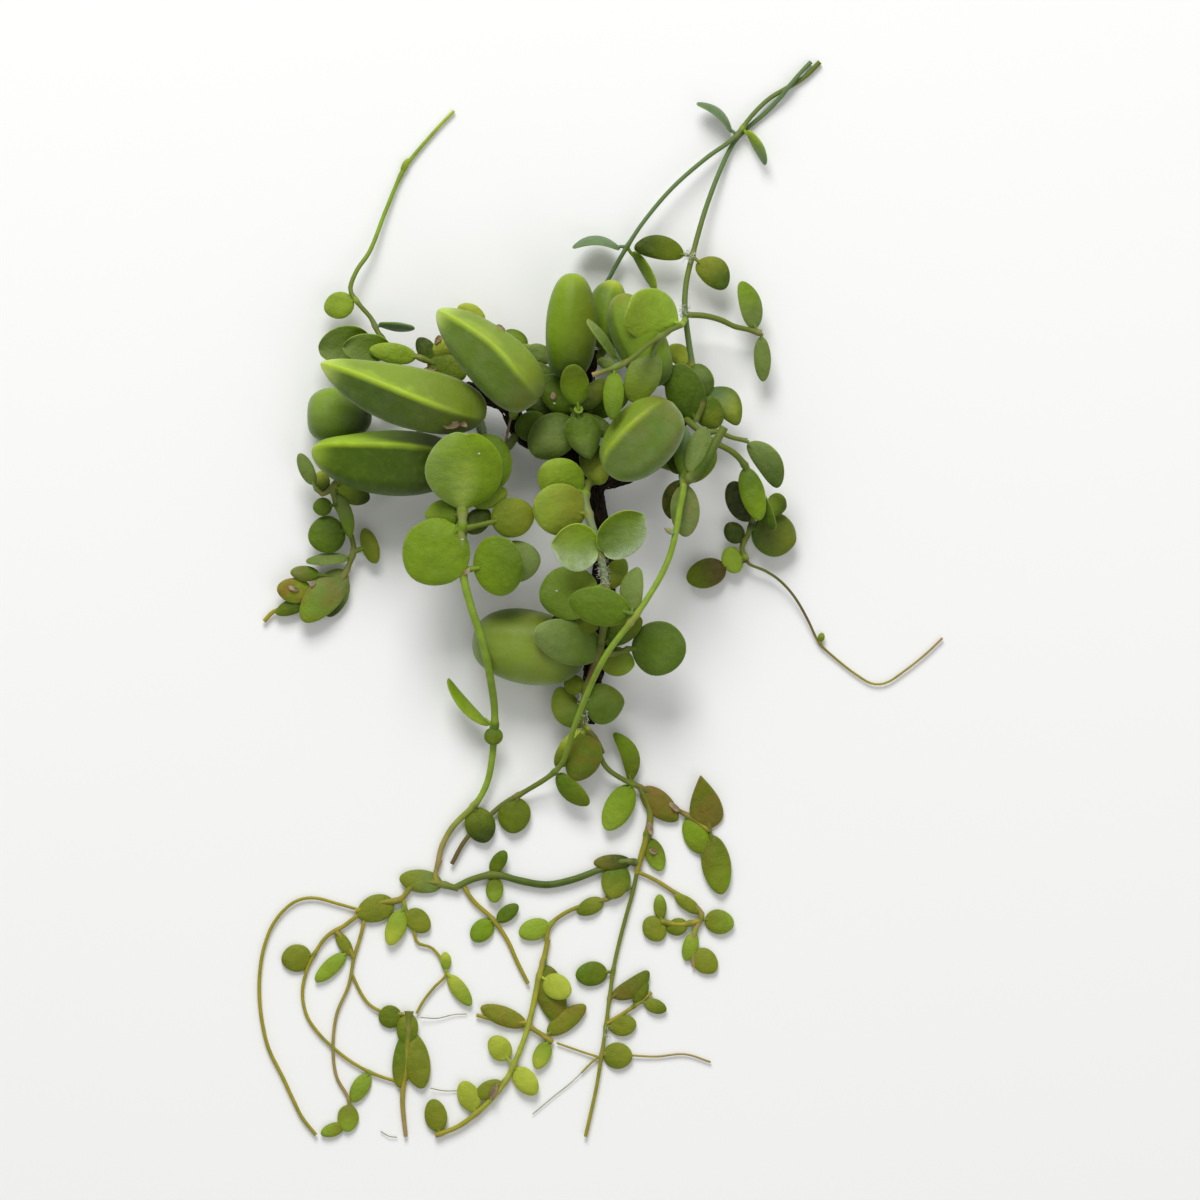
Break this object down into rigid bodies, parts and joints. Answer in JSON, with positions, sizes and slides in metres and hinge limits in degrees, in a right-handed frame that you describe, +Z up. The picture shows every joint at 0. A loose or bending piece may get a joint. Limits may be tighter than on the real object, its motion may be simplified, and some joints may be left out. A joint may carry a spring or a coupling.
{
  "type": "ant plant cutting",
  "caption": "Cut ant plant laid on a surface: swollen pitcher leaves on a forked woody stem, round fleshy coin leaves, and thin trailing and twining stems.",
  "frame": {"origin": "centre of the small flat underside of the old woody stem, which lies on the surface", "axes": "+X to the plant's right, +Y along its length towards the tips of the twining stems, +Z up off the surface it lies on"},
  "size_m": [0.2063, 0.3242, 0.0417],
  "materials": {
    "wood": "matte",
    "pitcher": "satin",
    "dark_pitcher": "satin",
    "coin_leaf": "satin",
    "shaded_leaf": "satin",
    "twiner": "satin",
    "green_stem": "satin",
    "trailing": "satin"
  },
  "bodies": {
    "root": {"woody_core": "wood", "pitcher_upper_left": "pitcher", "pitcher_middle_left": "pitcher", "pitcher_upper_centre": "pitcher", "pitcher_top": "pitcher", "pitcher_right": "pitcher", "pitcher_lower_left": "dark_pitcher", "pitcher_back_left": "dark_pitcher", "pitcher_back_top": "dark_pitcher", "pitcher_back_right": "dark_pitcher", "stem_left_front": "coin_leaf", "stem_centre": "coin_leaf", "stem_front": "green_stem", "stem_right": "shaded_leaf", "stem_left": "shaded_leaf", "crown_sprig_left": "shaded_leaf", "crown_sprig_right": "shaded_leaf", "crown_sprig_back": "shaded_leaf", "runner_upper_left": "shaded_leaf", "twining_stems": "twiner", "front_sprig": "coin_leaf", "trail_right": "trailing", "trail_far_right": "trailing", "trail_bottom_right": "trailing", "trail_arc": "trailing", "trail_bottom_middle": "trailing", "trail_cluster_left": "trailing", "trail_outer_left": "trailing", "trail_inner_left": "trailing"}
  },
  "joints": []
}
